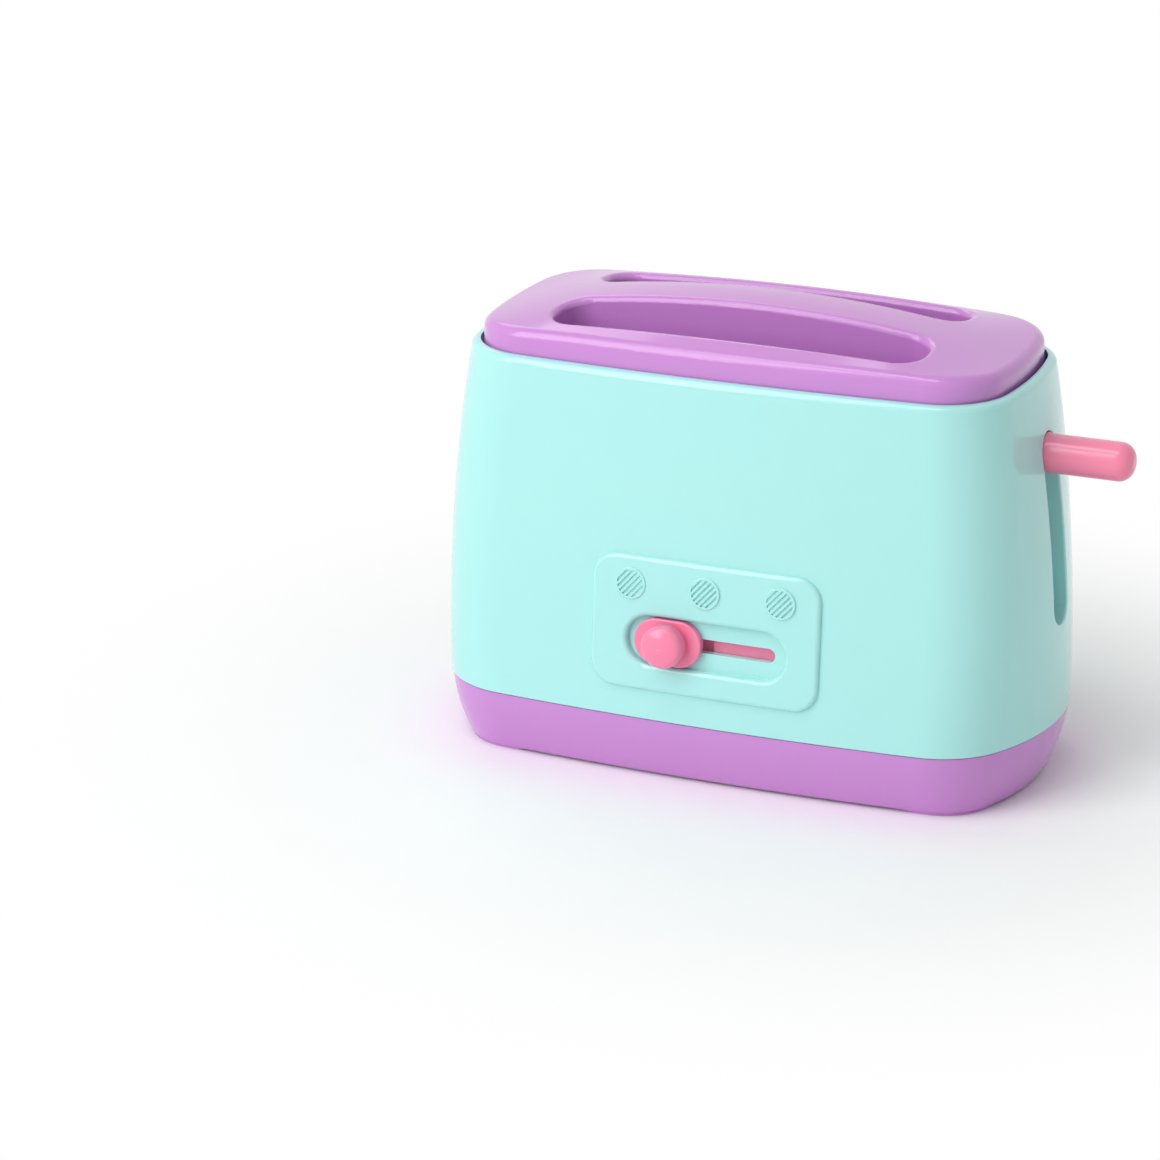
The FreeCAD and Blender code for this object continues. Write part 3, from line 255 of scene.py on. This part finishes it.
def spring_mesh(name, low, high):
    radius = (high.x - low.x) / 2 - SPRING_WIRE / 2
    middle = Vector(((low.x + high.x) / 2, (low.y + high.y) / 2, 0))
    mesh = bmesh.new()
    rings = []
    for step in range(SPRING_TURNS * SPRING_STEPS + 1):
        turn = step / SPRING_STEPS
        angle = 2 * math.pi * turn
        out = Vector((math.cos(angle), math.sin(angle), 0))
        centre = middle + out * radius + Vector((0, 0, spring_height(turn, low.z, high.z)))
        ring = []
        for side in range(SPRING_SIDES):
            around = 2 * math.pi * side / SPRING_SIDES
            offset = out * math.cos(around) + Vector((0, 0, 1)) * math.sin(around)
            ring.append(mesh.verts.new(centre + offset * SPRING_WIRE / 2))
        rings.append(ring)
    for first, second in zip(rings, rings[1:]):
        for side in range(SPRING_SIDES):
            other = (side + 1) % SPRING_SIDES
            mesh.faces.new((first[side], first[other], second[other], second[side]))
    mesh.faces.new(list(reversed(rings[0])))
    mesh.faces.new(rings[-1])
    bmesh.ops.recalc_face_normals(mesh, faces=mesh.faces)
    data = bpy.data.meshes.new(name)
    mesh.to_mesh(data)
    mesh.free()
    data.shade_smooth()
    piece = bpy.data.objects.new(name, data)
    bpy.context.scene.collection.objects.link(piece)
    data.materials.append(MATERIALS["spring_steel"])
    return piece


def add_springs():
    for side in ("left", "right"):
        node = "lift_spring_" + side
        low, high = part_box(node)
        piece = spring_mesh("coil_spring_" + side, low, high)
        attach(piece, "housing")
        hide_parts(node)
        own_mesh(piece)


# Camera, floor and light

def camera_axes():
    back = Vector((math.sin(CAMERA_AZIMUTH) * math.cos(CAMERA_ELEVATION),
                   -math.cos(CAMERA_AZIMUTH) * math.cos(CAMERA_ELEVATION), math.sin(CAMERA_ELEVATION)))
    right = Vector((0, 0, 1)).cross(back).normalized()
    up = back.cross(right)
    cos, sin = math.cos(CAMERA_ROLL), math.sin(CAMERA_ROLL)
    return cos * right + sin * up, cos * up - sin * right, back


def add_camera():
    data = bpy.data.cameras.new("camera")
    data.lens = CAMERA_LENS
    data.sensor_width = CAMERA_SENSOR
    data.clip_end = CAMERA_FAR
    camera = bpy.data.objects.new("camera", data)
    right, up, back = camera_axes()
    place = back * CAMERA_DISTANCE + right * CAMERA_RIGHT + up * CAMERA_UP
    camera.matrix_world = Matrix.Translation(place) @ Matrix((right, up, back)).transposed().to_4x4()
    bpy.context.scene.collection.objects.link(camera)
    bpy.context.scene.camera = camera


def area_light(name, azimuth, elevation, width, height, radiance):
    """A rectangular softbox that faces the toaster, azimuth counted from the front to the right."""
    data = bpy.data.lights.new(name, "AREA")
    data.shape = "RECTANGLE"
    data.size = width
    data.size_y = height
    data.energy = radiance * math.pi * width * height
    light = bpy.data.objects.new(name, data)
    turn, rise = math.radians(azimuth), math.radians(elevation)
    out = Vector((math.sin(turn) * math.cos(rise), -math.cos(turn) * math.cos(rise), math.sin(rise)))
    light.location = Vector((0, 0, LIGHT_AIM)) + out * LIGHT_DISTANCE
    light.rotation_euler = (-out).to_track_quat("-Z", "Y").to_euler()
    bpy.context.scene.collection.objects.link(light)


def seen_directly(tree):
    """1 for camera, glossy and transmission rays, and 0 for the rest."""
    path = tree.nodes.new("ShaderNodeLightPath")
    seen = path.outputs["Is Camera Ray"]
    for name in ("Is Glossy Ray", "Is Transmission Ray"):
        most = tree.nodes.new("ShaderNodeMath")
        most.operation = "MAXIMUM"
        tree.links.new(seen, most.inputs[0])
        tree.links.new(path.outputs[name], most.inputs[1])
        seen = most.outputs[0]
    return seen


def add_world():
    world = bpy.data.worlds.new("studio")
    bpy.context.scene.world = world
    world.use_nodes = True
    tree = world.node_tree
    background = tree.nodes["Background"]
    strength = tree.nodes.new("ShaderNodeMapRange")
    strength.inputs["To Min"].default_value = ROOM_LIGHT
    strength.inputs["To Max"].default_value = 1.0
    tree.links.new(seen_directly(tree), strength.inputs["Value"])
    tree.links.new(strength.outputs["Result"], background.inputs["Strength"])
    background.inputs["Color"].default_value = (1.0, 1.0, 1.0, 1.0)


def add_floor():
    """White paper that takes the shadow near the toaster and runs out into plain white."""
    bpy.ops.mesh.primitive_plane_add(size=FLOOR_SIZE, location=(0, 0, 0))
    floor = bpy.context.object
    floor.name = "floor"
    nodes = Nodes("floor_paper")
    fibre = nodes.range(nodes.noise(60.0, 4.0), 0.0, 1.0)
    nodes.link(nodes.blend(fibre, FLOOR_LOW, FLOOR_HIGH), nodes.shader, "Base Color")
    nodes.set(Roughness=0.8)
    reach = nodes.add("ShaderNodeVectorMath", operation="LENGTH")
    nodes.link(nodes.place, reach, "Vector")
    fade = nodes.add("ShaderNodeMapRange", interpolation_type="SMOOTHSTEP")
    fade.inputs["From Min"].default_value = FLOOR_FADE_START
    fade.inputs["From Max"].default_value = FLOOR_FADE_END
    nodes.link(reach.outputs["Value"], fade, "Value")
    both = nodes.add("ShaderNodeMath", operation="MULTIPLY")
    nodes.link(fade.outputs["Result"], both, 0)
    nodes.link(seen_directly(nodes.tree), both, 1)
    white = nodes.add("ShaderNodeEmission")
    mix = nodes.add("ShaderNodeMixShader")
    nodes.link(both.outputs[0], mix, 0)
    nodes.link(nodes.shader.outputs[0], mix, 1)
    nodes.link(white.outputs[0], mix, 2)
    nodes.link(mix.outputs[0], nodes.tree.nodes["Material Output"], "Surface")
    floor.data.materials.append(nodes.material)


bpy.context.scene.view_settings.view_transform = "Standard"
dress_nodes()
add_springs()
add_camera()
for light in LIGHTS:
    area_light(*light)
add_world()
add_floor()
